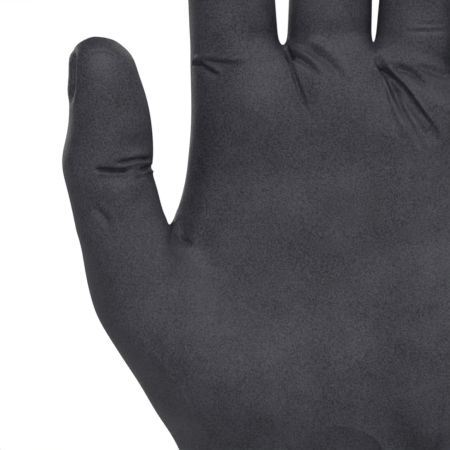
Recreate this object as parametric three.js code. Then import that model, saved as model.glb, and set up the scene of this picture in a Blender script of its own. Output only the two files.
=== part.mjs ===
// A nitrile exam glove for the left side, open and filled out: one dipped film with stalls for
// four fingers and a thumb, a palm and a cuff, whose edge is rolled up into a bead. The film is
// hollow and open at the cuff.
// Millimetres. +Z runs from the cuff to the fingertips, the palm faces -Y and the thumb is on -X.
// The origin is the centre of the cuff's mouth, level with the lowest point of the bead.
import * as THREE from "three";

// The film and its rolled edge
const filmWall = 1;
const beadRadius = 1.4;

// Cuff and wrist. wristSetback is how far the wrist lies behind the middle of the cuff's mouth.
const cuffLength = 52;
const cuffWidth = 77;
const cuffDepth = 56;
const wristWidth = 63;
const wristDepth = 32.5;
const wristSetback = 6;

// Palm
const palmLength = 110;
const palmDepth = 28.5;
const rowOffset = 6.4;
const webDrop = 10.5;

// Fingers. fingerCurl is how far a tip bends towards the palm, and fingerGap the space between two
// fingers at their web.
const fingerWidth = 21.8;
const fingerDepth = 19.4;
const fingerLength = 78;
const fingerCurl = 8;
const fingerGap = 2.1;
const fingerRowForward = 1.5;
const fingerRoot = 26;
const fingerTipLength = 9;

// Each finger's shares of those sizes, and its lean towards +X in degrees
const fingerShares = [
  { name: "index", width: 1, depth: 1, length: 0.859, lean: -3.4, curl: 0.625, gap: 1 },
  { name: "middle", width: 0.954, depth: 0.99, length: 1, lean: 1.6, curl: 0.75, gap: 0.43 },
  { name: "ring", width: 0.899, depth: 0.938, length: 0.897, lean: 4.4, curl: 1, gap: 0.81 },
  { name: "little", width: 0.798, depth: 0.835, length: 0.782, lean: 8.5, curl: 1, gap: 0 },
];

// Thumb
const thumbWebHeight = 63.5;
const thumbLength = 48.5;
const thumbWidth = 22.4;
const thumbDepth = 19.6;
const thumbReach = 52;
const thumbForward = 10;
const thumbTipLength = 9;

// How softly the forms run into each other
const ballBlend = 12;
const thumbBlend = 2.4;
const padBlend = 8;
const fingerBlend = 3.4;

// Cuff sections. flare goes from the wrist's size at 0 to the mouth's size at 1.
const cuffSections = [
  { rise: 0, flare: 1 },
  { rise: 0.25, flare: 0.8 },
  { rise: 0.55, flare: 0.42 },
  { rise: 0.8, flare: 0.12 },
  { rise: 1, flare: 0 },
];

// Palm sections, from the wrist crease to the webs. wrist is how much of the wrist's size is left,
// and the reaches are shares of the finger row's half width and of half the palm's depth.
const palmSections = [
  { rise: 0, wrist: 1, left: 1.1, right: 0.8, front: 1.2, back: 1.1 },
  { rise: 0.1, wrist: 0.8, left: 1.12, right: 1.04, front: 1.1, back: 1.1 },
  { rise: 0.2, wrist: 0.5, left: 1.14, right: 0.92, front: 1.3, back: 1.08 },
  { rise: 0.3, wrist: 0.2, left: 1.16, right: 0.92, front: 1.2, back: 1.06 },
  { rise: 0.4, wrist: 0.07, left: 1.18, right: 0.945, front: 1.03, back: 1.04 },
  { rise: 0.5, wrist: 0, left: 1.185, right: 0.96, front: 0.96, back: 1.02 },
  { rise: 0.56, wrist: 0, left: 1.16, right: 0.967, front: 0.98, back: 1 },
  { rise: 0.61, wrist: 0, left: 1.112, right: 0.972, front: 1, back: 0.98 },
  { rise: 0.68, wrist: 0, left: 1.048, right: 0.98, front: 1, back: 0.97 },
  { rise: 0.74, wrist: 0, left: 1.017, right: 0.985, front: 0.98, back: 0.96 },
  { rise: 0.86, wrist: 0, left: 0.965, right: 1, front: 0.92, back: 0.9 },
  { rise: 1, wrist: 0, left: 0.95, right: 0.97, front: 0.84, back: 0.8 },
];
const wristSquareness = 2.2;
const palmSquareness = 2.7;
const palmTopLength = 7;
const knuckleSlope = 0.45;

// Finger sections, from the web to the start of the rounded tip, as shares of the finger's size
const fingerSections = [
  { rise: 0, width: 1, depth: 1 },
  { rise: 0.2, width: 0.985, depth: 0.97 },
  { rise: 0.42, width: 0.965, depth: 0.95 },
  { rise: 0.58, width: 0.9, depth: 0.87 },
  { rise: 0.78, width: 0.88, depth: 0.82 },
  { rise: 0.92, width: 0.83, depth: 0.74 },
  { rise: 1, width: 0.78, depth: 0.7 },
];

// Thumb sections. rise is a share of thumbLength above the web. centre is how far the section's
// centre lies past the thumb's reach, as a share of thumbWidth, and forward a share of thumbForward.
const thumbSections = [
  { rise: 0.02, centre: 0, width: 1.05, depth: 1.1, forward: 0.94 },
  { rise: 0.12, centre: 0.07, width: 1, depth: 1.04, forward: 1 },
  { rise: 0.24, centre: 0.135, width: 0.99, depth: 1, forward: 1.06 },
  { rise: 0.32, centre: 0.18, width: 0.985, depth: 0.99, forward: 1.09 },
  { rise: 0.41, centre: 0.175, width: 0.995, depth: 0.98, forward: 1.12 },
  { rise: 0.51, centre: 0.157, width: 0.942, depth: 0.94, forward: 1.15 },
  { rise: 0.61, centre: 0.157, width: 0.888, depth: 0.9, forward: 1.18 },
  { rise: 0.71, centre: 0.184, width: 0.844, depth: 0.85, forward: 1.2 },
  { rise: 0.8144, centre: 0.215, width: 0.755, depth: 0.78, forward: 1.22 },
  { rise: 0.9, centre: 0.245, width: 0.735, depth: 0.77, forward: 1.22 },
  { rise: 1, centre: 0.29, width: 0.735, depth: 0.76, forward: 1.2 },
];

// Sections of the ball below the thumb. rise is a share of the height from the wrist to the thumb's
// web, and reach a share of thumbReach.
const ballSections = [
  { rise: 0, reach: 0.3, width: 1.5, depth: 0.9, forward: -0.3 },
  { rise: 0.165, reach: 0.385, width: 1.53, depth: 1.16, forward: 0 },
  { rise: 0.3, reach: 0.485, width: 1.62, depth: 1.46, forward: 0.4 },
  { rise: 0.43, reach: 0.58, width: 1.62, depth: 1.59, forward: 0.58 },
  { rise: 0.555, reach: 0.69, width: 1.58, depth: 1.55, forward: 0.66 },
  { rise: 0.68, reach: 0.805, width: 1.48, depth: 1.44, forward: 0.72 },
  { rise: 0.81, reach: 0.893, width: 1.3, depth: 1.28, forward: 0.8 },
  { rise: 0.93, reach: 0.955, width: 1.13, depth: 1.18, forward: 0.88 },
];

// Pads and knuckles. across is a share of the half palm from its centre, rise a share of palmLength,
// out a share of the half palm depth, and the three sizes are shares of the same three lengths.
const pads = [
  { name: "thumb's web", across: -0.98, rise: 0.44, out: -0.3, wide: 0.3, tall: 0.13, thick: 0.5 },
  { name: "little finger's ball", across: 0.5, rise: 0.31, out: -0.66, wide: 0.36, tall: 0.23, thick: 0.7 },
  { name: "pad below the index", across: -0.58, rise: 0.86, out: -0.42, wide: 0.24, tall: 0.09, thick: 0.6 },
  { name: "pad below the middle", across: -0.14, rise: 0.86, out: -0.42, wide: 0.24, tall: 0.09, thick: 0.58 },
  { name: "pad below the ring", across: 0.36, rise: 0.83, out: -0.42, wide: 0.24, tall: 0.09, thick: 0.58 },
  { name: "index knuckle", across: -0.66, rise: 0.76, out: 0.36, wide: 0.16, tall: 0.09, thick: 0.6 },
  { name: "middle knuckle", across: -0.18, rise: 0.78, out: 0.4, wide: 0.16, tall: 0.09, thick: 0.6 },
  { name: "ring knuckle", across: 0.29, rise: 0.75, out: 0.36, wide: 0.15, tall: 0.08, thick: 0.58 },
  { name: "little knuckle", across: 0.72, rise: 0.68, out: 0.28, wide: 0.14, tall: 0.08, thick: 0.55 },
];

// Folds of the film on the palm side. Each runs from start over mid to end; across is a share of
// the half palm from its centre and rise a share of palmLength. width and depth are shares of
// foldWidth and foldDepth.
const foldWidth = 2.3;
const foldDepth = 1.6;
const folds = [
  { name: "index web, long", start: [-0.45, 0.985], mid: [-0.38, 0.9], end: [-0.29, 0.815], width: 0.9, depth: 0.7 },
  { name: "index web, short", start: [-0.43, 0.99], mid: [-0.33, 0.995], end: [-0.23, 0.93], width: 0.8, depth: 0.8 },
  { name: "below the middle", start: [-0.29, 1.03], mid: [-0.14, 1], end: [-0.05, 0.89], width: 1.1, depth: 0.8 },
  { name: "ring web, deep", start: [0.15, 0.96], mid: [0.3, 0.87], end: [0.46, 0.75], width: 0.9, depth: 1 },
  { name: "ring web, second", start: [0.1, 0.97], mid: [0.2, 0.85], end: [0.38, 0.71], width: 1, depth: 0.8 },
  { name: "below the ring", start: [0.23, 0.98], mid: [0.34, 0.95], end: [0.46, 0.89], width: 1.1, depth: 0.7 },
  { name: "index side, low", start: [-0.96, 0.975], mid: [-0.88, 0.955], end: [-0.81, 0.91], width: 0.9, depth: 0.7 },
  { name: "index side, high", start: [-0.92, 1], mid: [-0.83, 0.985], end: [-0.72, 0.975], width: 0.8, depth: 0.6 },
  { name: "thumb joint, high", start: [-1.45, 0.745], mid: [-1.31, 0.77], end: [-1.18, 0.755], width: 0.8, depth: 1 },
  { name: "thumb joint, low", start: [-1.57, 0.72], mid: [-1.42, 0.715], end: [-1.3, 0.725], width: 0.8, depth: 0.9 },
  { name: "thumb root", start: [-1.58, 0.655], mid: [-1.5, 0.625], end: [-1.41, 0.595], width: 1.4, depth: 0.7 },
  { name: "thumb web", start: [-1.03, 0.575], mid: [-0.94, 0.54], end: [-0.84, 0.52], width: 1, depth: 0.5 },
];

// How finely the film is faceted
const fingerFacets = 5;
const sideFacets = 4;
const cuffRings = 15;
const palmRings = 12;
const thumbRings = 12;
const fingerRings = 10;
const ringSpread = 1.25;
const tipRings = 3;
const beadRings = 6;
const cornerAngle = 50;
const webDip = 3.6;
const webClear = 1.4;
const webWall = 3;

const radians = THREE.MathUtils.degToRad;
const mix = THREE.MathUtils.lerp;
const clamp = THREE.MathUtils.clamp;
const smooth = THREE.MathUtils.smoothstep;

// Heights that follow from the lengths
const wristHeight = cuffLength;
const webHeight = wristHeight + palmLength;
const thumbWeb = wristHeight + thumbWebHeight;

// The row of fingers gives the palm its width
const fingers = fingerShares.map((share) => ({
  name: share.name,
  width: share.width * fingerWidth,
  depth: share.depth * fingerDepth,
  length: share.length * fingerLength,
  lean: share.lean,
  curl: share.curl * fingerCurl,
  gap: share.gap * fingerGap,
}));
const rowWidth = fingers.reduce((sum, finger) => sum + finger.width + finger.gap, 0);
const halfPalm = rowWidth / 2;
const rowLeft = rowOffset - halfPalm;
const rowRight = rowOffset + halfPalm;
let nextLeft = rowLeft;
for (const finger of fingers) {
  finger.x = nextLeft + finger.width / 2;
  finger.right = nextLeft + finger.width;
  nextLeft = finger.right + finger.gap;
}
// A finger's axis at height z
const axisX = (finger, z) => finger.x + Math.tan(radians(finger.lean)) * (z - webHeight);

// How far the palm's top edge falls at x, towards the little finger
function dropAt(x) {
  const ring = fingers[2];
  return webDrop * smooth(x, ring.x - ring.width * 0.2, ring.right + ring.width * 0.1);
}
// The web between two fingers lies in the middle of their gap
const webs = fingers.slice(0, -1).map((finger, k) => {
  const next = fingers[k + 1];
  const z = webHeight - dropAt(finger.right + finger.gap / 2);
  const edges = axisX(finger, z) + finger.width / 2 + axisX(next, z) - next.width / 2;
  const lean = Math.tan(radians((finger.lean + next.lean) / 2));
  return { x: edges / 2, z, lean };
});
for (const finger of fingers) {
  finger.base = webHeight - (finger.name === "little" ? dropAt(rowRight) : 0);
  finger.tip = finger.base + finger.length;
}

// A smooth curve through one column of a table of sections, by its rise
function column(rows, name, rise) {
  const last = rows.length - 1;
  if (rise <= rows[0].rise) return rows[0][name];
  if (rise >= rows[last].rise) return rows[last][name];
  let i = 0;
  while (rows[i + 1].rise < rise) i += 1;
  const slopeAt = (k) => {
    const below = rows[Math.max(k - 1, 0)];
    const above = rows[Math.min(k + 1, last)];
    return (above[name] - below[name]) / (above.rise - below.rise);
  };
  const step = rows[i + 1].rise - rows[i].rise;
  const t = (rise - rows[i].rise) / step;
  const from = rows[i][name] * (1 + 2 * t) * (1 - t) ** 2 + slopeAt(i) * step * t * (1 - t) ** 2;
  const to = rows[i + 1][name] * (3 - 2 * t) * t ** 2 - slopeAt(i + 1) * step * (1 - t) * t ** 2;
  return from + to;
}

// About the distance from a point to a rounded form with these three half sizes
function ovalDistance(dx, dy, dz, wide, deep, tall, squareness) {
  const x = Math.abs(dx) / wide;
  const y = Math.abs(dy) / deep;
  const z = Math.abs(dz) / tall;
  const size = (x ** squareness + y ** squareness + z ** squareness) ** (1 / squareness);
  if (size < 1e-6) return -Math.min(wide, deep, tall);
  const power = squareness - 1;
  const steep = Math.hypot(x ** power / wide, y ** power / deep, z ** power / tall) / size ** power;
  return (size - 1) / steep;
}

// The union of two forms, rounded where they meet
function blend(a, b, radius) {
  const near = Math.max(radius - Math.abs(a - b), 0) / radius;
  return Math.min(a, b) - (near * near * radius) / 4;
}

// The cuff, wrist and palm at height z: the reach to each side, and how square the section is
function bodyAt(z) {
  if (z < wristHeight) {
    const flare = column(cuffSections, "flare", z / cuffLength);
    const wide = mix(wristWidth, cuffWidth, flare) / 2;
    const deep = mix(wristDepth, cuffDepth, flare) / 2;
    const setback = wristSetback * (1 - flare);
    return {
      left: wide,
      right: wide,
      front: deep - setback,
      back: deep + setback,
      squareness: wristSquareness,
    };
  }
  const rise = (z - wristHeight) / palmLength;
  const part = (name) => column(palmSections, name, rise);
  const reach = (name, full, wrist) => mix(full * part(name), wrist / 2, part("wrist"));
  return {
    left: reach("left", -rowLeft, wristWidth),
    right: reach("right", rowRight, wristWidth),
    front: reach("front", palmDepth / 2, wristDepth - 2 * wristSetback),
    back: reach("back", palmDepth / 2, wristDepth + 2 * wristSetback),
    squareness: mix(wristSquareness, palmSquareness, smooth(rise, 0, 0.5)),
  };
}

const palmTop = webHeight - palmTopLength;
function palmDistance(x, y, z) {
  const fall = dropAt(x) + knuckleSlope * Math.max(y + fingerRowForward, 0);
  const level = z + fall * smooth(z, wristHeight + palmLength * 0.3, palmTop - webDrop);
  const at = bodyAt(Math.min(level, palmTop));
  const centre = (at.right - at.left) / 2;
  const middle = (at.back - at.front) / 2;
  return ovalDistance(
    x - centre,
    y - middle,
    Math.max(level - palmTop, 0),
    (at.left + at.right) / 2,
    (at.front + at.back) / 2,
    palmTopLength,
    at.squareness,
  );
}

// A finger's axis at height z, and its half sizes there
function fingerAt(finger, z) {
  const tipStart = finger.tip - fingerTipLength;
  const along = clamp((z - finger.base) / finger.length, -1, 1);
  const rise = clamp((z - finger.base) / (tipStart - finger.base), 0, 1);
  return {
    x: axisX(finger, z),
    y: -fingerRowForward - finger.curl * Math.max(along, 0) ** 2,
    wide: (finger.width / 2) * column(fingerSections, "width", rise),
    deep: (finger.depth / 2) * column(fingerSections, "depth", rise),
  };
}

function fingerDistance(finger, x, y, z) {
  const at = fingerAt(finger, z);
  const root = finger.base - fingerRoot;
  const tipStart = finger.tip - fingerTipLength;
  const past = Math.max(z - tipStart, root - z, 0);
  return ovalDistance(x - at.x, y - at.y, past, at.wide, at.deep, fingerTipLength, 2);
}

// The thumb, or the ball below it, at height z
function thumbAt(z) {
  const rise = (z - thumbWeb) / thumbLength;
  if (rise >= thumbSections[0].rise) {
    const part = (name) => column(thumbSections, name, rise);
    return {
      x: -thumbReach - part("centre") * thumbWidth,
      y: -part("forward") * thumbForward,
      wide: (part("width") * thumbWidth) / 2,
      deep: (part("depth") * thumbDepth) / 2,
    };
  }
  const low = (z - wristHeight) / thumbWebHeight;
  const rows = [
    ...ballSections,
    { ...thumbSections[0], rise: 1 + (thumbSections[0].rise * thumbLength) / thumbWebHeight, reach: 1 },
  ];
  const part = (name) => column(rows, name, low);
  return {
    x: -part("reach") * thumbReach,
    y: -part("forward") * thumbForward,
    wide: (part("width") * thumbWidth) / 2,
    deep: (part("depth") * thumbDepth) / 2,
  };
}

const thumbTip = thumbWeb + thumbLength;
function thumbDistance(x, y, z) {
  const at = thumbAt(z);
  const past = Math.max(z - (thumbTip - thumbTipLength), wristHeight - z, 0);
  const tall = z < wristHeight ? thumbTipLength * 2 : thumbTipLength;
  return ovalDistance(x - at.x, y - at.y, past, at.wide, at.deep, tall, 2.2);
}

function padDistance(pad, x, y, z) {
  return ovalDistance(
    x - rowOffset - pad.across * halfPalm,
    y - (pad.out * palmDepth) / 2,
    z - wristHeight - pad.rise * palmLength,
    pad.wide * halfPalm,
    (pad.thick * palmDepth) / 2,
    pad.tall * palmLength,
    2,
  );
}

// About the distance from a point to the cuff and palm, without fingers and thumb
function bodyDistance(x, y, z) {
  let body = palmDistance(x, y, z);
  for (const pad of pads) body = blend(body, padDistance(pad, x, y, z), padBlend);
  return body;
}

// About the distance from a point to the smooth film, negative inside it. A stall is made with the
// others left out, so that two sides of a narrow gap stay apart.
function filmDistance(x, y, z, limbs = fingers, withThumb = true) {
  let film = bodyDistance(x, y, z);
  if (withThumb) {
    const soft = mix(ballBlend, thumbBlend, smooth(z, thumbWeb - thumbWidth, thumbWeb));
    film = blend(film, thumbDistance(x, y, z), soft);
  }
  if (z < webHeight - fingerRoot - webDrop - fingerBlend) return film;
  const nearest = Math.min(...limbs.map((finger) => fingerDistance(finger, x, y, z)));
  return blend(film, nearest, fingerBlend);
}
const wholeFilm = (x, y, z) => filmDistance(x, y, z);
const palmFilm = (x, y, z) => filmDistance(x, y, z, fingers, false);
const thumbFilm = (x, y, z) => {
  const web = padDistance(pads[0], x, y, z);
  return blend(thumbDistance(x, y, z), web, thumbBlend);
};

// Where a ray from a point inside the film meets it
function onFilm(field, from, way) {
  const farthest = 90;
  const at = (t) => field(from[0] + way[0] * t, from[1] + way[1] * t, from[2] + way[2] * t);
  let inside = 0;
  let outside = 0;
  while (outside < farthest) {
    const distance = at(outside);
    if (distance >= 0) break;
    inside = outside;
    outside += Math.max(-distance * 0.6, 0.3);
  }
  for (let i = 0; i < 14; i += 1) {
    const middle = (inside + outside) / 2;
    if (at(middle) < 0) inside = middle;
    else outside = middle;
  }
  const along = new THREE.Vector3(...way);
  return { point: new THREE.Vector3(...from).addScaledVector(along, inside), way: along, field };
}

// The y at which the film is farthest away, over x at height z
function deepestAt(field, x, z) {
  const step = 2;
  let best = 0;
  let least = Infinity;
  for (let y = -wristDepth; y <= wristDepth; y += step) {
    const distance = field(x, y, z);
    if (distance < least) [least, best] = [distance, y];
  }
  const [before, after] = [field(x, best - step, z), field(x, best + step, z)];
  const bend = before - 2 * least + after;
  return bend > 1e-6 ? best + (step * (before - after)) / (2 * bend) : best;
}

// The film's outward normal at a point
function normalAt({ x, y, z }, field) {
  const step = 0.25;
  return new THREE.Vector3(
    field(x + step, y, z) - field(x - step, y, z),
    field(x, y + step, z) - field(x, y - step, z),
    field(x, y, z + step) - field(x, y, z - step),
  ).normalize();
}

// A fold's route as a curve in the plane of the palm
const foldCurves = folds.map((fold) => {
  const [start, mid, end] = [fold.start, fold.mid, fold.end].map(
    ([across, rise]) => new THREE.Vector2(rowOffset + across * halfPalm, wristHeight + rise * palmLength),
  );
  return { ...fold, points: new THREE.SplineCurve([start, mid, end]).getPoints(12) };
});

// How far the folds draw the film in at a point
function foldedIn(point, normal) {
  const here = new THREE.Vector2(point.x, point.z);
  const facing = clamp(-normal.y * 2, 0, 1);
  let depth = 0;
  for (const fold of foldCurves) {
    let nearest = Infinity;
    let along = 0;
    fold.points.forEach((p, i) => {
      const d = p.distanceTo(here);
      if (d < nearest) [nearest, along] = [d, i / (fold.points.length - 1)];
    });
    const taper = smooth(along, -0.15, 0.25) * (1 - smooth(along, 0.55, 1.05));
    const width = fold.width * foldWidth;
    depth += fold.depth * foldDepth * taper * facing * Math.exp(-((nearest / width) ** 2));
  }
  return depth;
}

// The film's mesh: outer points with the inner point behind each, and quads that name them
const outer = [];
const inner = [];
const quads = [];

function addPoint({ point, field }) {
  const normal = normalAt(point, field);
  const depth = foldedIn(point, normal);
  outer.push(point.clone().addScaledVector(normal, -depth));
  inner.push(point.clone().addScaledVector(normal, -depth - filmWall));
  return outer.length - 1;
}

// A point on a web, where the film is thicker and its inside lies straight below
function addWebPoint({ point, way }) {
  outer.push(point);
  inner.push(point.clone().addScaledVector(way, -webWall * filmWall));
  return outer.length - 1;
}

// Joins two loops of as many points; the faces look outwards. Each quad starts where the diagonal
// does that lies closer to the film.
function strip(lower, upper) {
  lower.forEach((a, i) => {
    const next = (i + 1) % lower.length;
    const quad = [a, lower[next], upper[next], upper[i]];
    const off = (from, to) => {
      const { x, y, z } = outer[quad[from]].clone().lerp(outer[quad[to]], 0.5);
      return Math.abs(wholeFilm(x, y, z));
    };
    if (off(1, 3) < off(0, 2)) quad.push(quad.shift());
    quads.push(quad);
  });
}

// A loop round the film, in order: the front from left to right, the right side, the back from
// right to left, and the left side
function loopAround(field, columns) {
  const centres = columns.map(({ x, z }) => [x, deepestAt(field, x, z), z]);
  const front = centres.map((centre) => onFilm(field, centre, [0, -1, 0]));
  const back = centres.map((centre) => onFilm(field, centre, [0, 1, 0]));
  const side = (j, way) => {
    const points = [];
    for (let i = 1; i < sideFacets; i += 1) {
      const from = front[j].point.clone().lerp(back[j].point, i / sideFacets);
      points.push(onFilm(field, from.toArray(), way));
    }
    return points;
  };
  const right = side(centres.length - 1, [1, 0, 0]);
  const left = side(0, [-1, 0, 0]).reverse();
  return [...front, ...right, ...back.reverse(), ...left].map(addPoint);
}

const thumbColumns = fingerFacets;
const palmColumns = fingers.length * fingerFacets;
const wholeColumns = thumbColumns + palmColumns;
const cornerShare = Math.sin(radians(cornerAngle));
const splitHeight = thumbWeb - webDip;

// The middle of the gap between the thumb and the palm, just above the web
function thumbGap() {
  const thumb = thumbAt(thumbWeb + webDip);
  let widest = 0;
  let gap = thumb.x + thumb.wide;
  for (let x = thumb.x; x < rowLeft + fingers[0].width / 2; x += 0.25) {
    const distance = wholeFilm(x, thumb.y / 2, thumbWeb + webDip);
    if (distance > widest) [widest, gap] = [distance, x];
  }
  return gap;
}

const notch = thumbGap();

// Below the thumb's web a loop takes in the thumb as well. At the split, its columns lie under the
// thumb and under the palm.
function wholeColumnsAt(z) {
  const body = bodyAt(z);
  const thumb = thumbAt(z);
  const edge = z < wristHeight ? body.left : Math.max(body.left, thumb.wide - thumb.x);
  const centre = (body.right - edge) / 2;
  const half = ((body.right + edge) / 2) * cornerShare;
  const split = smooth(z, wristHeight, splitHeight);
  return Array.from({ length: wholeColumns + 1 }, (_, j) => {
    const even = mix(centre - half, centre + half, j / wholeColumns);
    const share = j < thumbColumns ? j / thumbColumns : (j - thumbColumns) / palmColumns;
    const under =
      j < thumbColumns
        ? mix(thumb.x - thumb.wide * cornerShare, notch, share)
        : mix(notch, body.right - body.front * (1 - cornerShare) * 2, share);
    return { x: mix(even, under, split), z };
  });
}

// The rolled edge: rings of points round the bead's section, outside the film
function beadLoops(loop) {
  const loops = [];
  for (let k = 0; k < beadRings; k += 1) {
    const turn = radians(mix(105, -180, k / (beadRings - 1)));
    loops.push(
      loop.map((index) => {
        const point = outer[index];
        const away = normalAt(point, wholeFilm).setZ(0).normalize();
        const out = beadRadius - filmWall + beadRadius * Math.cos(turn);
        const z = beadRadius + beadRadius * Math.sin(turn);
        return new THREE.Vector3(point.x, point.y, z).addScaledVector(away, out);
      }),
    );
  }
  return loops;
}

// A finger or thumb above the loop at its root, up to its closed tip
function stall({ root, field, axisAt, rings, tipStart, tipLength, baseLeft, baseRight }) {
  const count = root.length;
  const angleOf = (i) => radians(-90 - cornerAngle + (360 * i) / count);
  const point = (i, z, up) => {
    const at = axisAt(z);
    const way = new THREE.Vector3(
      at.wide * Math.cos(angleOf(i)) * Math.cos(up),
      at.deep * Math.sin(angleOf(i)) * Math.cos(up),
      tipLength * Math.sin(up),
    ).normalize();
    return addPoint(onFilm(field, [at.x, at.y, z], way.toArray()));
  };
  let lower = root;
  for (let ring = 0; ring <= rings; ring += 1) {
    const share = (ring / rings) ** ringSpread;
    const loop = root.map((_, i) => {
      const base = mix(baseLeft, baseRight, (1 + Math.cos(angleOf(i))) / 2);
      return point(i, mix(base, tipStart, share), 0);
    });
    strip(lower, loop);
    lower = loop;
  }
  for (let ring = 1; ring <= tipRings; ring += 1) {
    const up = (Math.PI / 2) * (ring / (tipRings + 1));
    const loop = root.map((_, i) => point(i, tipStart, up));
    strip(lower, loop);
    lower = loop;
  }
  const pole = point(0, tipStart, Math.PI / 2);
  lower.forEach((a, i) => quads.push([a, lower[(i + 1) % count], pole]));
}

// Cuff and palm, up to the split at the thumb's web
const cuffTop = 2 * beadRadius + 1;
let lower = null;
let cuffLoop = null;
let splitColumns = null;
for (let ring = 0; ring <= cuffRings; ring += 1) {
  splitColumns = wholeColumnsAt(mix(cuffTop, splitHeight, (ring / cuffRings) ** 0.75));
  const loop = loopAround(wholeFilm, splitColumns);
  if (lower) strip(lower, loop);
  else cuffLoop = loop;
  lower = loop;
}

// The parts of a loop: front and back by columns, and the two sides
const sidePoints = sideFacets - 1;
function partsOf(loop, columns) {
  const backEnd = 2 * columns + 1 + sidePoints;
  return {
    front: (from, to) => loop.slice(from, to + 1),
    right: loop.slice(columns + 1, columns + 1 + sidePoints),
    back: (from, to) => loop.slice(backEnd - to, backEnd + 1 - from),
    left: loop.slice(backEnd + 1),
  };
}

// An arch over a web, as points from the front to the back. It rises along the gap's own lean.
function arch(field, x, z, lean) {
  const points = [];
  for (let i = 1; i < sideFacets; i += 1) {
    const turn = (Math.PI * i) / sideFacets;
    const way = new THREE.Vector3(lean * Math.sin(turn), -Math.cos(turn), Math.sin(turn));
    points.push(onFilm(field, [x, deepestAt(field, x, z), z], way.normalize().toArray()));
  }
  return points.map(addWebPoint);
}

const topOf = (points) => Math.max(...points.map((index) => outer[index].z));

const atSplit = partsOf(lower, wholeColumns);
const thumbArch = arch(wholeFilm, splitColumns[thumbColumns].x, splitHeight, 0);
const thumbRoot = [
  ...atSplit.front(0, thumbColumns),
  ...thumbArch,
  ...atSplit.back(0, thumbColumns),
  ...atSplit.left,
];
stall({
  root: thumbRoot,
  field: thumbFilm,
  axisAt: thumbAt,
  rings: thumbRings,
  tipStart: thumbTip - thumbTipLength,
  tipLength: thumbTipLength,
  baseLeft: thumbWeb,
  baseRight: topOf(thumbArch) + webClear,
});

// The palm goes on from the split to the fingers' webs
const topCorners = [
  { x: fingers[0].x - (fingers[0].width / 2) * cornerShare, z: webHeight - webDip - 1.5 },
  ...webs.map(({ x, z, lean }) => ({ x: x - lean * webDip, z: z - webDip })),
  {
    x: fingers[3].x + (fingers[3].width / 2) * cornerShare,
    z: webHeight - dropAt(rowRight) - webDip - 1.5,
  },
];
const topColumns = [];
for (let j = 0; j <= palmColumns; j += 1) {
  const k = Math.min(Math.floor(j / fingerFacets), fingers.length - 1);
  const share = (j - k * fingerFacets) / fingerFacets;
  topColumns.push({
    x: mix(topCorners[k].x, topCorners[k + 1].x, share),
    z: mix(topCorners[k].z, topCorners[k + 1].z, share),
  });
}

let palmLoop = [
  ...atSplit.front(thumbColumns, wholeColumns),
  ...atSplit.right,
  ...atSplit.back(thumbColumns, wholeColumns),
  ...[...thumbArch].reverse(),
];
// The first loops rise towards the thumb's web, so that they clear its arch
const archClear = topOf(thumbArch) + webClear;
const topInset = bodyAt(topCorners[0].z).left + topCorners[0].x;
for (let ring = 1; ring <= palmRings; ring += 1) {
  const share = ring / palmRings;
  const columns = topColumns.map((top, j) => {
    const from = splitColumns[thumbColumns + j];
    return { x: mix(from.x, top.x, share), z: mix(from.z, top.z, share) };
  });
  const lift = Math.max(mix(archClear, topCorners[0].z, (ring - 1) / palmRings) - columns[0].z, 0);
  for (let j = 0; j < fingerFacets; j += 1) {
    columns[j].z += lift * (1 - j / fingerFacets) ** 2;
  }
  const edge = -bodyAt(columns[0].z).left + topInset * smooth(share, -1, 0.4);
  for (let j = 0; j < fingerFacets; j += 1) {
    columns[j].x = mix(edge, columns[fingerFacets].x, j / fingerFacets);
  }
  const loop = loopAround(palmFilm, columns);
  strip(palmLoop, loop);
  palmLoop = loop;
}

// At the webs the palm splits into the four fingers
const atRow = partsOf(palmLoop, palmColumns);
const arches = webs.map(({ z, lean }, k) => {
  return arch(palmFilm, topCorners[k + 1].x, z - webDip, lean);
});
fingers.forEach((finger, k) => {
  const from = k * fingerFacets;
  const to = from + fingerFacets;
  const root = [
    ...atRow.front(from, to),
    ...(arches[k] ?? atRow.right),
    ...atRow.back(from, to),
    ...(k ? [...arches[k - 1]].reverse() : atRow.left),
  ];
  stall({
    root,
    field: (x, y, z) => filmDistance(x, y, z, [finger], false),
    axisAt: (z) => fingerAt(finger, z),
    rings: fingerRings,
    tipStart: finger.tip - fingerTipLength,
    tipLength: fingerTipLength,
    baseLeft: (k ? topOf(arches[k - 1]) : topCorners[0].z + webDip) + webClear,
    baseRight: (arches[k] ? topOf(arches[k]) : topCorners[k + 1].z + webDip) + webClear,
  });
});

// One closed skin: the outer film, the bead round the mouth and the inner film
function filmGeometry() {
  const positions = [];
  const triangle = (a, b, c) => {
    for (const p of [a, b, c]) positions.push(p.x, p.y, p.z);
  };
  const face = (points) => {
    triangle(points[0], points[1], points[2]);
    if (points[3]) triangle(points[0], points[2], points[3]);
  };
  for (const quad of quads) {
    face(quad.map((index) => outer[index]));
    const [first, ...others] = quad;
    face([first, ...others.reverse()].map((index) => inner[index]));
  }
  const rings = [
    cuffLoop.map((index) => outer[index]),
    ...beadLoops(cuffLoop),
    cuffLoop.map((index) => inner[index]),
  ];
  for (let k = 0; k + 1 < rings.length; k += 1) {
    rings[k].forEach((a, i) => {
      const next = (i + 1) % rings[k].length;
      face([rings[k + 1][i], rings[k + 1][next], rings[k][next], a]);
    });
  }
  const geometry = new THREE.BufferGeometry();
  geometry.setAttribute("position", new THREE.Float32BufferAttribute(positions, 3));
  geometry.computeVertexNormals();
  return geometry;
}

const nitrile = new THREE.MeshStandardMaterial({ color: 0x3c3c41, roughness: 0.6, metalness: 0 });
const film = new THREE.Mesh(filmGeometry(), nitrile);
film.name = "glove_film";

const glove = new THREE.Group();
glove.add(film);

export default glove;
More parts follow.
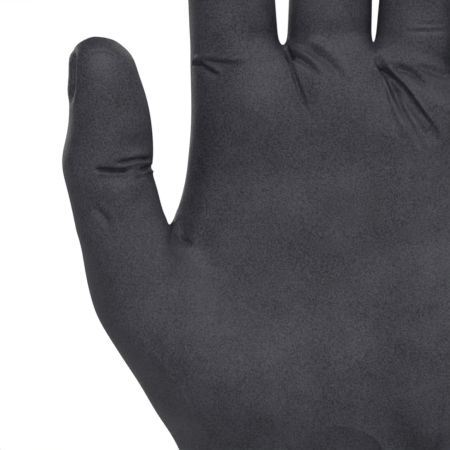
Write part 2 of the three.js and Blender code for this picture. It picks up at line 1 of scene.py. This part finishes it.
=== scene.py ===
# %% [markdown]
# # A nitrile exam glove
# An exam glove is one thin film that was dipped over a mould of its own shape, so it has no seams
# and no added pieces. What gives it away as a glove is its surface: soft forms, a few folds where
# the film bunches between the fingers, a fine grain and a rolled bead at the cuff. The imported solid
# already has the forms and the hollow inside, as flat facets. This script lays a smooth, folded
# skin over it, gives that skin its nitrile finish and sets up a plain studio.

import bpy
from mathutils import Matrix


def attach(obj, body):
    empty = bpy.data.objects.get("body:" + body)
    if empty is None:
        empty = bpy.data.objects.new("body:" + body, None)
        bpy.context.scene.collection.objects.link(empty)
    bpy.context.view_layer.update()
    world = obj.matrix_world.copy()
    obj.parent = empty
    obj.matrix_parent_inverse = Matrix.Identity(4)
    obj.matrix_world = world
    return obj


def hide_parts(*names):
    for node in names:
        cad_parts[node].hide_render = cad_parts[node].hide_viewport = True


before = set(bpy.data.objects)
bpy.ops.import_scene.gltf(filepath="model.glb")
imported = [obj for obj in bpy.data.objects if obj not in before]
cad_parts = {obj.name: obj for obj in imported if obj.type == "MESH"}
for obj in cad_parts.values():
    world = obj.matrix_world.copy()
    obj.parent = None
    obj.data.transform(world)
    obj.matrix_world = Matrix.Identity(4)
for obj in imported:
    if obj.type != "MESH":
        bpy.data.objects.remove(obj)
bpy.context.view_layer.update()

# %% Import what the lesson needs
import math

import bmesh
import bpy
import numpy as np
from mathutils import Vector

MM = 0.001

# %% [markdown]
# ## The skin, part one: a cage of quads
# The solid arrives as triangles, one loose set per facet. A smooth skin is easiest to grow from
# quads, so the facets are welded and each pair of triangles becomes one quad again. Modelling the
# glove anew from circles was the other choice, but then the skin and the solid could drift apart.

# %% Weld the facets and pair the triangles
WELD = 0.02 * MM
BENT_LESS_THAN = math.radians(70)
SKEWED_LESS_THAN = math.radians(75)

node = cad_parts["glove_film"]
cage = bmesh.new()
cage.from_mesh(node.data)
bmesh.ops.remove_doubles(cage, verts=cage.verts[:], dist=WELD)
bmesh.ops.join_triangles(
    cage,
    faces=cage.faces[:],
    angle_face_threshold=BENT_LESS_THAN,
    angle_shape_threshold=SKEWED_LESS_THAN,
)
bmesh.ops.recalc_face_normals(cage, faces=cage.faces[:])
print("cage:", len(cage.verts), "points,", len(cage.faces), "faces")

# %% [markdown]
# ## The skin, part two: which faces line the inside
# The film is a closed sheet: an outside that the light reaches and a lining that only the mouth
# shows. The two meet in the ring of edges under the bead. Spreading from a fingertip without ever
# crossing that ring finds every outside face, and what is left over is the lining.

# %% Spread over the outside
RING_TOLERANCE = 0.02 * MM

lowest = min(v.co.z for v in cage.verts)
under_bead = {v for v in cage.verts if v.co.z < lowest + RING_TOLERANCE}
front = [max(cage.faces, key=lambda f: f.calc_center_median().z)]
outside = set(front)
while front:
    face = front.pop()
    for edge in face.edges:
        if edge.verts[0] in under_bead and edge.verts[1] in under_bead:
            continue
        for neighbour in edge.link_faces:
            if neighbour not in outside:
                outside.add(neighbour)
                front.append(neighbour)
lining_points = [v.index for v in cage.verts if not any(f in outside for f in v.link_faces)]
print("outside faces:", len(outside), "lining points:", len(lining_points))

# %% [markdown]
# The cage becomes an object of its own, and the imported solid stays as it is. The lining's points go
# into a named group, because the thinning and the folds below treat the two sides differently.

# %% Make the film's object from the cage
skin = bpy.data.meshes.new("nitrile_film")
cage.to_mesh(skin)
cage.free()
film = bpy.data.objects.new("nitrile_film", skin)
bpy.context.scene.collection.objects.link(film)
film.vertex_groups.new(name="lining").add(lining_points, 1.0, "REPLACE")

# %% [markdown]
# ## The skin, part three: round without shrinking
# A subdivision surface rounds the cage off, but it also pulls the skin inwards, about a third of a
# millimetre on a finger. The cage's points lie on the true form, so the skin should pass through
# them. Each pass below measures how far the skin has pulled away from every point and pushes the
# cage out by as much. The cell prints the largest miss that each pass takes up, which shrinks from
# 2.3 mm to 0.4 mm.

# %% Grow the skin and push the cage out
SUBDIVISIONS = 2
PUSHES = 4


def baked():
    """The film's mesh with its modifiers worked in."""
    depsgraph = bpy.context.evaluated_depsgraph_get()
    return bpy.data.meshes.new_from_object(film.evaluated_get(depsgraph))


def places(mesh):
    """The mesh's points as rows of x, y, z."""
    flat = np.empty(len(mesh.vertices) * 3, dtype=np.float32)
    mesh.vertices.foreach_get("co", flat)
    return flat.reshape(-1, 3).astype(np.float64)


def move_to(mesh, points):
    """Puts the mesh's points at these rows of x, y, z."""
    mesh.vertices.foreach_set("co", points.astype(np.float32).ravel())
    mesh.update()


rounding = film.modifiers.new("rounding", "SUBSURF")
rounding.levels = rounding.render_levels = SUBDIVISIONS
target = places(skin)
pushed = target.copy()
for step in range(PUSHES):
    trial = baked()
    miss = target - places(trial)[: len(target)]
    bpy.data.meshes.remove(trial)
    print("push", step, "took up a miss of %.3f mm" % (np.abs(miss).max() / MM))
    pushed += miss
    move_to(skin, pushed)

# %% [markdown]
# ## The skin, part four: spend the faces where they show
# The lining is only seen through the mouth, so it can do with far fewer faces than the outside.
# A decimate modifier that is tied to the lining's point group takes faces from that side alone. Its
# ratio counts the faces of both sides, though, and half of them are the outside's. That leaves a
# known fault: at 0.3 next to nothing stays of the lining, only a cone of some 90 long triangles,
# which comes out through the front of the wrist. By the count of faces, 0.62 would keep about a
# quarter of the lining.

# %% Thin the lining
FACES_KEPT = 0.3
LINING_PULL = 1000.0

thinning = film.modifiers.new("thinning", "DECIMATE")
thinning.vertex_group = "lining"
thinning.vertex_group_factor = LINING_PULL
thinning.ratio = FACES_KEPT
film.data = baked()
film.modifiers.clear()
film.data.name = "nitrile_film"
print("after thinning:", len(film.data.vertices), "points,", len(film.data.polygons), "faces")

# %% [markdown]
# ## Folds
# A tight film gathers into small folds wherever it has to turn: at the roots of the fingers, in
# the web of the thumb and across the thumb's joint. Each is a short valley with a raised lip
# beside it, and it fades out at its ends. A bump texture could fake them, but they catch the light
# and change the outline, so they are pushed into the mesh. One row of the table is one fold: the
# valley's half-width and depth, the lip's height, on which side of the run the lip stands, the
# share of the run over which each end fades, and the points that it runs through, all lengths in
# millimetres and the points across and above the cuff's mouth.

# %% List the folds
# name, half-width, depth, lip, lip side, fade in, fade out; then the (across, up) points
FOLD_ROWS = [
    ("index_web_core", 0.80, 1.10, 0.0, 1, 0.05, 0.4,
     [(-12.4, 161.9), (-11.7, 160.2), (-10.7, 158.2)]),
    ("index_web_line", 0.55, 0.90, 0.55, -1, 0.05, 0.55,
     [(-12.4, 160.4), (-10.9, 157.0), (-9.7, 153.1), (-8.5, 149.6), (-7.3, 146.2), (-5.5, 142.7)]),
    ("middle_root_crease", 0.80, 1.50, 0.75, 1, 0.05, 0.65,
     [(-12.2, 160.3), (-9.8, 159.3), (-7.9, 158.3), (-6.2, 156.9), (-4.4, 154.9), (-3.4, 153.4)]),
    ("middle_root_swell", 1.2, 1.40, 0.50, 1, 0.25, 0.75,
     [(-9.2, 162.0), (-5.2, 160.4), (-2.2, 158.3), (0.1, 155.7), (2.0, 152.6), (3.4, 149.6)]),
    ("ring_web_core", 0.90, 1.20, 0.0, 1, 0.3, 0.3,
     [(10.2, 160.2), (10.8, 158.2), (11.5, 156.4), (12.2, 154.6)]),
    ("ring_web_thin", 0.40, 0.45, 0.22, 1, 0.1, 0.6,
     [(10.6, 157.6), (11.1, 155.4), (12.3, 150.1), (13.6, 145.7), (14.6, 142.2)]),
    ("ring_web_main", 0.90, 1.40, 0.70, -1, 0.08, 0.7,
     [(11.0, 158.0), (12.6, 154.6), (14.5, 150.4), (16.8, 145.2), (19.2, 140.7), (21.5, 136.6),
      (23.1, 133.2)]),
    ("ring_web_sharp", 0.55, 1.20, 0.65, 1, 0.06, 0.6,
     [(11.6, 156.6), (14.7, 153.5), (17.2, 150.9), (20.0, 146.9), (22.6, 143.4), (24.6, 140.5),
      (26.4, 137.6)]),
    ("ring_web_pocket", 1.2, 1.00, 0.0, 1, 0.15, 0.3,
     [(13.6, 152.7), (17.0, 149.2), (20.2, 145.0), (23.6, 140.2), (25.8, 136.6)]),
    ("ring_root_arc", 0.85, 1.30, 0.50, 1, 0.35, 0.65,
     [(12.2, 156.6), (15.6, 156.2), (18.3, 155.4), (20.5, 153.6), (22.7, 151.4), (25.2, 149.4)]),
    ("ring_root_tail", 0.80, 0.80, 0.35, 1, 0.3, 0.2,
     [(18.9, 157.0), (22.2, 156.3), (25.2, 155.3), (28.8, 154.2)]),
    ("ring_joint_low", 0.60, 0.42, 0.20, 1, 0.3, 0.3,
     [(16.0, 165.3), (20.5, 165.3), (25.9, 165.5), (29.0, 165.6)]),
    ("ring_joint_high", 0.60, 0.28, 0.12, 1, 0.4, 0.4, [(19.0, 167.4), (23.5, 167.0), (28.0, 167.2)]),
    ("thumb_crease_high", 0.55, 1.20, 0.50, -1, 0.3, 0.15,
     [(-54.6, 132.4), (-52.5, 133.1), (-50.0, 133.7), (-47.5, 134.1), (-45.0, 133.7)]),
    ("thumb_crease_low", 0.55, 1.15, 0.50, -1, 0.28, 0.28,
     [(-59.8, 131.5), (-56.8, 131.2), (-54.3, 131.0), (-51.5, 131.2), (-49.7, 131.6)]),
    ("thumb_crease_side", 0.50, 0.90, 0.30, -1, 0.35, 0.1,
     [(-48.6, 131.1), (-46.6, 131.6), (-44.6, 132.0)]),
    ("thumb_crease_soft", 0.6, 0.40, 0.15, -1, 0.4, 0.4, [(-49.8, 128.9), (-46.5, 129.5)]),
    ("thumb_root_valley", 1.00, 0.80, 0.20, 1, 0.4, 0.45,
     [(-60.0, 123.2), (-58.0, 120.8), (-56.3, 118.9), (-54.4, 116.6)]),
    ("thumb_web_crease", 0.60, 1.00, 0.0, -1, 0.45, 0.5,
     [(-40.5, 116.6), (-38.9, 115.2), (-37.3, 114.0), (-35.6, 113.0), (-33.8, 112.3)]),
    ("index_root_low", 0.65, 1.00, 0.50, 1, 0.08, 0.45,
     [(-35.2, 157.9), (-32.2, 156.5), (-30.0, 155.2), (-27.9, 153.6)]),
    ("index_root_high", 0.65, 0.70, 0.35, 1, 0.1, 0.4,
     [(-35.0, 157.9), (-31.5, 158.0), (-27.8, 157.6), (-23.5, 157.3), (-20.5, 157.6)]),
    ("thumb_nail_edge", 0.50, 0.75, 0.40, -1, 0.2, 0.35,
     [(-64.0, 162.0), (-64.4, 156.0), (-64.6, 151.6), (-65.2, 145.7)]),
    ("thumb_tip_arc", 0.4, 0.25, 0.12, -1, 0.3, 0.3,
     [(-61.6, 159.4), (-58.6, 160.4), (-55.6, 160.2), (-53.0, 158.6)]),
]
FOLD_COLUMNS = ("name", "width", "depth", "lip", "side", "fade_in", "fade_out", "points")
folds = [dict(zip(FOLD_COLUMNS, row)) for row in FOLD_ROWS]
print(len(folds), "folds, the deepest", max(f["depth"] for f in folds), "mm")

# %% [markdown]
# A fold's few points become a smooth run with a Catmull-Rom curve, which passes through each of
# them. Every sample of the run also keeps its direction, so that a point beside it knows on which
# side it lies.

# %% Draw each fold's run
SAMPLES_PER_SPAN = 14


def smooth_run(points):
    """Samples of a Catmull-Rom curve through the points, with their unit directions and shares."""
    p = np.array([points[0]] + list(points) + [points[-1]], dtype=np.float64)
    p[0] = 2 * p[1] - p[2]
    p[-1] = 2 * p[-2] - p[-3]
    rows = []
    for i in range(1, len(p) - 2):
        t = np.linspace(0, 1, SAMPLES_PER_SPAN, endpoint=False)[:, None]
        a, b, c, d = p[i - 1], p[i], p[i + 1], p[i + 2]
        rows.append(
            0.5 * (2 * b + (c - a) * t + (2 * a - 5 * b + 4 * c - d) * t**2
                   + (3 * b - a - 3 * c + d) * t**3)
        )
    run = np.vstack(rows + [p[-2:-1]])
    way = np.gradient(run, axis=0)
    way /= np.linalg.norm(way, axis=1, keepdims=True)
    length = np.concatenate([[0], np.cumsum(np.linalg.norm(np.diff(run, axis=0), axis=1))])
    return run, way, length / length[-1]


for fold in folds:
    fold["run"], fold["way"], fold["share"] = smooth_run(fold["points"])

# %% [markdown]
# The skin's faces are about a millimetre wide, too coarse for a crease of half that. The faces
# beside a fold are split once, and those right in its valley once more, before it is pressed in.
# The rest stay as they are, so the faces go where a crease needs them.

# %% Measure from a fold's run
def nearest_on_run(fold, flat):
    """Offset across, distance and share of the nearest sample of a fold's run, for (x, z) in mm."""
    gap = flat[:, None, :] - fold["run"][None, :, :]
    far = np.linalg.norm(gap, axis=2)
    pick = far.argmin(axis=1)
    rows = np.arange(len(flat))
    step = gap[rows, pick]
    way = fold["way"][pick]
    across = way[:, 0] * step[:, 1] - way[:, 1] * step[:, 0]
    return across, far[rows, pick], fold["share"][pick]


def near_fold(fold, flat, reach):
    """Which points (x, z) in mm lie in the box round a fold's run."""
    low = fold["run"].min(axis=0) - reach
    high = fold["run"].max(axis=0) + reach
    return np.all((flat > low) & (flat < high), axis=1)


# %% Split the faces near the folds
FOLD_REACHES = (3.6, 2.2)
SPLIT_FACES_BELOW = 0.1

for widths in FOLD_REACHES:
    fine = bmesh.new()
    fine.from_mesh(film.data)
    fine.faces.ensure_lookup_table()
    centres = np.array([f.calc_center_median() for f in fine.faces])[:, [0, 2]] / MM
    forward = np.array([f.normal.y < SPLIT_FACES_BELOW and len(f.verts) == 4 for f in fine.faces])
    close = np.zeros(len(centres), dtype=bool)
    for fold in folds:
        reach = widths * fold["width"]
        rows = np.where(near_fold(fold, centres, reach) & forward)[0]
        if len(rows):
            close[rows[nearest_on_run(fold, centres[rows])[1] < reach]] = True
    edges = {e for i in np.where(close)[0] for e in fine.faces[i].edges}
    bmesh.ops.subdivide_edges(fine, edges=list(edges), cuts=1, use_grid_fill=True)
    fine.to_mesh(film.data)
    fine.free()
    print("faces split:", int(close.sum()), "now", len(film.data.polygons))

# %% [markdown]
# A fold on the real glove is the whole film bending, not a groove cut into its face. So each point
# beside a run moves along the skin's own normal, in by a bell-shaped valley and out by a smaller
# bell for the lip. The lining's points are set to move the same way as the outside's, which keeps
# the film's thickness wherever there is a lining. Beside the folds the thinning has left none. Only
# the palm's side is folded, and folds that meet in a web simply add up.

# %% Measure the lining and the fading of a fold
def lining_share(obj):
    """How much each point belongs to the lining, from its point group."""
    group = obj.vertex_groups["lining"].index
    share = np.zeros(len(obj.data.vertices))
    for v in obj.data.vertices:
        for g in v.groups:
            if g.group == group:
                share[v.index] = g.weight
    return share


def fade(share, start, end):
    """1 along a run, and down to 0 over its two ends."""
    up = np.clip(share / start, 0, 1)
    down = np.clip((1 - share) / end, 0, 1)
    return up * up * (3 - 2 * up) * down * down * (3 - 2 * down)


# %% Press the folds in
PRESS_POINTS_BELOW = 0.15
LIP_OFFSET = 1.7

points = places(film.data)
flat_normals = np.empty(len(points) * 3, dtype=np.float32)
film.data.vertices.foreach_get("normal", flat_normals)
facing = flat_normals.reshape(-1, 3).astype(np.float64)
lining = lining_share(film)
flat = points[:, [0, 2]] / MM
lift = np.zeros(len(points))
outward = np.where(lining < 0.5, 1.0, -1.0)[:, None] * facing
front_points = outward[:, 1] < PRESS_POINTS_BELOW
for fold in folds:
    rows = np.where(near_fold(fold, flat, FOLD_REACHES[0] * fold["width"]) & front_points)[0]
    across, far, share = nearest_on_run(fold, flat[rows])
    strength = fade(share, fold["fade_in"], fold["fade_out"])
    beyond = np.sqrt(np.maximum(far**2 - across**2, 0))
    strength *= np.exp(-((beyond / fold["width"]) ** 2))
    valley = -fold["depth"] * np.exp(-((across / fold["width"]) ** 2))
    lip_at = (across * fold["side"] - LIP_OFFSET * fold["width"]) / fold["width"]
    lift[rows] += strength * (valley + fold["lip"] * np.exp(-(lip_at**2)))
points += outward * (lift * MM)[:, None]
move_to(film.data, points)
print("pressed in: %.2f mm, raised: %.2f mm" % (-lift.min(), lift.max()))

# %% [markdown]
# ## Nitrile
# Nitrile film is a matt rubber. It has a very fine pebble, a slight unevenness in its tone and a
# soft, low gloss, and the pads of the fingertips are a little rougher for grip. All of that is
# smaller than the mesh can hold, so it is built from noise in the material, in millimetres of the
# glove itself, so that the grain keeps its size from any side.
#
# The pads are a little more pebbled than the rest, for grip, and they are also painted paler: a
# painted highlight that stands in for the glint of light on their pebble. An image could mark them,
# but a number at each point needs no map: it is 1 in the middle of a pad and falls softly to 0 at
# its rim, and the material reads it by name.

# %% Mark the fingertip pads
GRIP_AND_HIGHLIGHT_PADS = [
    # across, forward, up, radius, all in mm
    (-57.8, -20.0, 157.6, 5.2),
    (-29.5, -14.0, 217.0, 8.0),
    (0.2, -15.0, 229.0, 8.0),
    (24.5, -16.0, 218.0, 8.0),
    (48.0, -14.0, 198.0, 7.0),
]

pads = np.zeros(len(points))
for across, forward, up, radius in GRIP_AND_HIGHLIGHT_PADS:
    far = np.linalg.norm(points / MM - np.array([across, forward, up]), axis=1)
    pads = np.maximum(pads, np.clip(1 - far / radius, 0, 1))
# The pads' mark drives the real pebble and also a painted highlight that makes the pads paler.
grip_and_highlight = film.data.attributes.new("grip_and_highlight", "FLOAT", "POINT")
grip_and_highlight.data.foreach_set("value", (pads * pads * (3 - 2 * pads)).astype(np.float32))
print("points on the grip pads:", int((pads > 0).sum()))

# %% [markdown]
# A principled shader does for a rubber that light doesn't pass through. Its base is very dark, its
# gloss wide and weak, and no coat is laid over it.

# %% Build the nitrile material
NITRILE_DARK = (0.012, 0.012, 0.016, 1.0)
NITRILE_LIGHT = (0.066, 0.066, 0.082, 1.0)
# Painted highlight: how far the fingertip pads' tone is raised, so that they are painted paler.
TIP_PAINTED_HIGHLIGHT = 0.16
NITRILE_ROUGHNESS = (0.50, 0.62)
NITRILE_IOR = 1.48
NITRILE_SHINE = 0.35
GRAIN_SIZE = 0.42 * MM
GRAIN_RELIEF = 0.22 * MM
PEBBLE_SIZE = GRAIN_SIZE * 1.3
MOTTLE_SIZE = 9.0 * MM


def add_node(tree, kind, **values):
    """A new node of this kind, with its inputs or properties set by name."""
    made = tree.nodes.new(kind)
    for key, value in values.items():
        label = key.replace("_", " ").title()
        if label in made.inputs:
            made.inputs[label].default_value = value
        else:
            setattr(made, key, value)
    return made


def empty_tree(owner):
    """The node tree of a material or world, switched on and empty, and its call that links."""
    owner.use_nodes = True
    owner.node_tree.nodes.clear()
    return owner.node_tree, owner.node_tree.links.new


nitrile = bpy.data.materials.new("nitrile")
tree, link = empty_tree(nitrile)
out = add_node(tree, "ShaderNodeOutputMaterial")
rubber = add_node(tree, "ShaderNodeBsdfPrincipled")
link(rubber.outputs["BSDF"], out.inputs["Surface"])
rubber.inputs["IOR"].default_value = NITRILE_IOR
rubber.inputs["Specular IOR Level"].default_value = NITRILE_SHINE
where = add_node(tree, "ShaderNodeTexCoord").outputs["Object"]

# %% [markdown]
# Seen close, the film is a dark grey with a fine speckle, and over a centimetre its tone drifts.
# Two noises give the two scales. They are mixed first and turned into a colour once, so that the
# darkest and the lightest grey stay the same wherever the noises meet. On the fingertip pads the
# tone is raised as well, a painted highlight.

# %% Give the nitrile its uneven tone, and the pads a painted highlight
TONE_RANGE = (0.345, 0.655)
GRAIN_SHARE = 0.75

mottle = add_node(tree, "ShaderNodeTexNoise", scale=1 / MOTTLE_SIZE, detail=5.0, roughness=0.6)
link(where, mottle.inputs["Vector"])
grain = add_node(tree, "ShaderNodeTexNoise", scale=1 / GRAIN_SIZE, detail=3.0, roughness=0.55)
link(where, grain.inputs["Vector"])
tone = add_node(tree, "ShaderNodeMix", data_type="RGBA")
tone_inputs = [i for i in tone.inputs if i.type == "RGBA"]
tone_inputs[0].default_value = NITRILE_DARK
tone_inputs[1].default_value = NITRILE_LIGHT
blend_tones = add_node(tree, "ShaderNodeMapRange")
blend_tones.inputs["From Min"].default_value = TONE_RANGE[0]
blend_tones.inputs["From Max"].default_value = TONE_RANGE[1]
both_noises = add_node(tree, "ShaderNodeMix", factor=GRAIN_SHARE)
link(mottle.outputs["Fac"], both_noises.inputs["A"])
link(grain.outputs["Fac"], both_noises.inputs["B"])
# Painted highlight: the pads' mark raises the tone, so the fingertip pads are painted paler.
on_tip = add_node(tree, "ShaderNodeAttribute", attribute_name="grip_and_highlight")
tip_painted_highlight = add_node(tree, "ShaderNodeMath", operation="MULTIPLY_ADD")
tip_painted_highlight.inputs[1].default_value = TIP_PAINTED_HIGHLIGHT
link(on_tip.outputs["Fac"], tip_painted_highlight.inputs[0])
link(both_noises.outputs["Result"], tip_painted_highlight.inputs[2])
link(tip_painted_highlight.outputs[0], blend_tones.inputs["Value"])
link(blend_tones.outputs["Result"], tone.inputs["Factor"])
link([o for o in tone.outputs if o.type == "RGBA"][0], rubber.inputs["Base Color"])

# %% [markdown]
# The same fine noise also drives the gloss and the bump, because on real film the speckle is the
# light on tiny bumps. The pads add rounder pebbles from a cell pattern, weighted by their mark.

# %% Give the nitrile its gloss and its pebble
gloss = add_node(tree, "ShaderNodeMapRange")
gloss.inputs["To Min"].default_value = NITRILE_ROUGHNESS[0]
gloss.inputs["To Max"].default_value = NITRILE_ROUGHNESS[1]
link(grain.outputs["Fac"], gloss.inputs["Value"])
link(gloss.outputs["Result"], rubber.inputs["Roughness"])
pebble = add_node(tree, "ShaderNodeTexVoronoi", scale=1 / PEBBLE_SIZE, feature="SMOOTH_F1")
link(where, pebble.inputs["Vector"])
pad_pebble = add_node(tree, "ShaderNodeMath", operation="MULTIPLY")
link(pebble.outputs["Distance"], pad_pebble.inputs[0])
link(on_tip.outputs["Fac"], pad_pebble.inputs[1])
relief = add_node(tree, "ShaderNodeMath", operation="ADD")
link(grain.outputs["Fac"], relief.inputs[0])
link(pad_pebble.outputs[0], relief.inputs[1])
bump = add_node(tree, "ShaderNodeBump", strength=1.0, distance=GRAIN_RELIEF)
link(relief.outputs[0], bump.inputs["Height"])
link(bump.outputs["Normal"], rubber.inputs["Normal"])

# %% [markdown]
# The film takes the solid's place in the picture, while the solid stays in the frame for collision.

# %% Dress the film and set it in the frame's place
film.data.materials.clear()
film.data.materials.append(nitrile)
film.data.shade_smooth()
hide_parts("glove_film")
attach(film, "root")
print("triangles:", sum(len(p.vertices) - 2 for p in film.data.polygons))

# %% [markdown]
# ## Studio
# The glove stands on a plain pale floor. A backdrop that curves up behind it was the other choice,
# but it would hide the glove in the views from behind. So the floor is a disc, and its rim fades
# into the white room, which leaves no horizon.

# %% Lay the floor
FLOOR_RADIUS = 0.75
FLOOR_FADE = 0.35
FLOOR_CORNERS = 96
FLOOR_PALE = (0.7, 0.7, 0.7, 1.0)

floor_mesh = bpy.data.meshes.new("floor")
disc = bmesh.new()
bmesh.ops.create_circle(disc, cap_ends=True, segments=FLOOR_CORNERS, radius=FLOOR_RADIUS)
disc.to_mesh(floor_mesh)
disc.free()
floor = bpy.data.objects.new("floor", floor_mesh)
bpy.context.scene.collection.objects.link(floor)

paper = bpy.data.materials.new("floor_paper")
tree, link = empty_tree(paper)
out = add_node(tree, "ShaderNodeOutputMaterial")
sheet = add_node(tree, "ShaderNodeBsdfDiffuse", color=FLOOR_PALE)
clear = add_node(tree, "ShaderNodeBsdfTransparent")
mix = add_node(tree, "ShaderNodeMixShader")
spot = add_node(tree, "ShaderNodeTexCoord")
reach = add_node(tree, "ShaderNodeVectorMath", operation="LENGTH")
rim = add_node(tree, "ShaderNodeMapRange", interpolation_type="SMOOTHSTEP")
rim.inputs["From Min"].default_value = FLOOR_FADE
rim.inputs["From Max"].default_value = FLOOR_RADIUS
link(spot.outputs["Object"], reach.inputs[0])
link(reach.outputs["Value"], rim.inputs["Value"])
link(rim.outputs["Result"], mix.inputs["Fac"])
link(sheet.outputs[0], mix.inputs[1])
link(clear.outputs[0], mix.inputs[2])
link(mix.outputs[0], out.inputs["Surface"])
floor_mesh.materials.append(paper)

# %% [markdown]
# A white room would throw light on the glove from everywhere and wash out its folds. So the room is
# white only where the camera sees it directly, and as a light it gives next to nothing.

# %% Light the room
ROOM_LIGHT = 0.012
WHITE = (1.0, 1.0, 1.0, 1.0)

room = bpy.data.worlds.new("room")
bpy.context.scene.world = room
tree, link = empty_tree(room)
out = add_node(tree, "ShaderNodeOutputWorld")
glow = add_node(tree, "ShaderNodeBackground", color=WHITE, strength=ROOM_LIGHT)
white = add_node(tree, "ShaderNodeBackground", color=WHITE, strength=1.0)
choose = add_node(tree, "ShaderNodeMixShader")
ray = add_node(tree, "ShaderNodeLightPath")
link(ray.outputs["Is Camera Ray"], choose.inputs["Fac"])
link(glow.outputs[0], choose.inputs[1])
link(white.outputs[0], choose.inputs[2])
link(choose.outputs[0], out.inputs["Surface"])

# %% [markdown]
# Square area lamps stand for a studio's soft boxes. The main one hangs high in front, so that each
# fold has a dark side below its edge, and a weaker one fills in from straight ahead. Three more
# stand to the right and left, and two behind light the back. All of them point at the palm.

# %% Hang the soft boxes
AIM = Vector((-0.027, 0.0, 0.12))
SOFT_BOXES = [
    # name, place in m, side of the square in m, power in W
    ("front", (0.0, -2.0, 0.2), 0.8, 10.3),
    ("front_high", (0.0, -1.3, 1.6), 0.6, 23.5),
    ("high_right", (1.4, -0.4, 1.3), 0.6, 11.0),
    ("high_left", (-1.4, -0.4, 1.3), 0.6, 2.5),
    ("left", (-1.9, -0.3, 0.3), 0.8, 2.5),
    ("back_right", (1.3, 1.6, 1.3), 0.8, 22.0),
    ("back_left", (-1.3, 1.8, 0.7), 0.8, 14.0),
]
for name, place, side, power in SOFT_BOXES:
    lamp = bpy.data.lights.new(name, "AREA")
    lamp.shape = "SQUARE"
    lamp.size = side
    lamp.energy = power
    box = bpy.data.objects.new(name, lamp)
    box.location = place
    box.rotation_euler = (AIM - Vector(place)).to_track_quat("-Z", "Y").to_euler()
    box.visible_camera = False
    bpy.context.scene.collection.objects.link(box)
print(len(SOFT_BOXES), "soft boxes")

# %% [markdown]
# The camera looks straight at the palm from far off through a long lens, which keeps the fingers
# parallel. The lens follows from how wide a piece of the glove the picture shows. The standard view
# transform keeps the room's white as white and the film's greys as they were mixed.

# %% Set up the camera
CAMERA_DISTANCE = 2.4
SEEN_WIDTH = 0.11111
SEEN_CENTRE = (-0.02716, 0.11778)
SENSOR = 36.0
LEVEL = math.radians(90)

lens = bpy.data.cameras.new("camera")
lens.sensor_width = SENSOR
lens.lens = SENSOR * CAMERA_DISTANCE / SEEN_WIDTH
camera = bpy.data.objects.new("camera", lens)
camera.location = (SEEN_CENTRE[0], -CAMERA_DISTANCE, SEEN_CENTRE[1])
camera.rotation_euler = (LEVEL, 0, 0)
bpy.context.scene.collection.objects.link(camera)
bpy.context.scene.camera = camera
bpy.context.scene.view_settings.view_transform = "Standard"
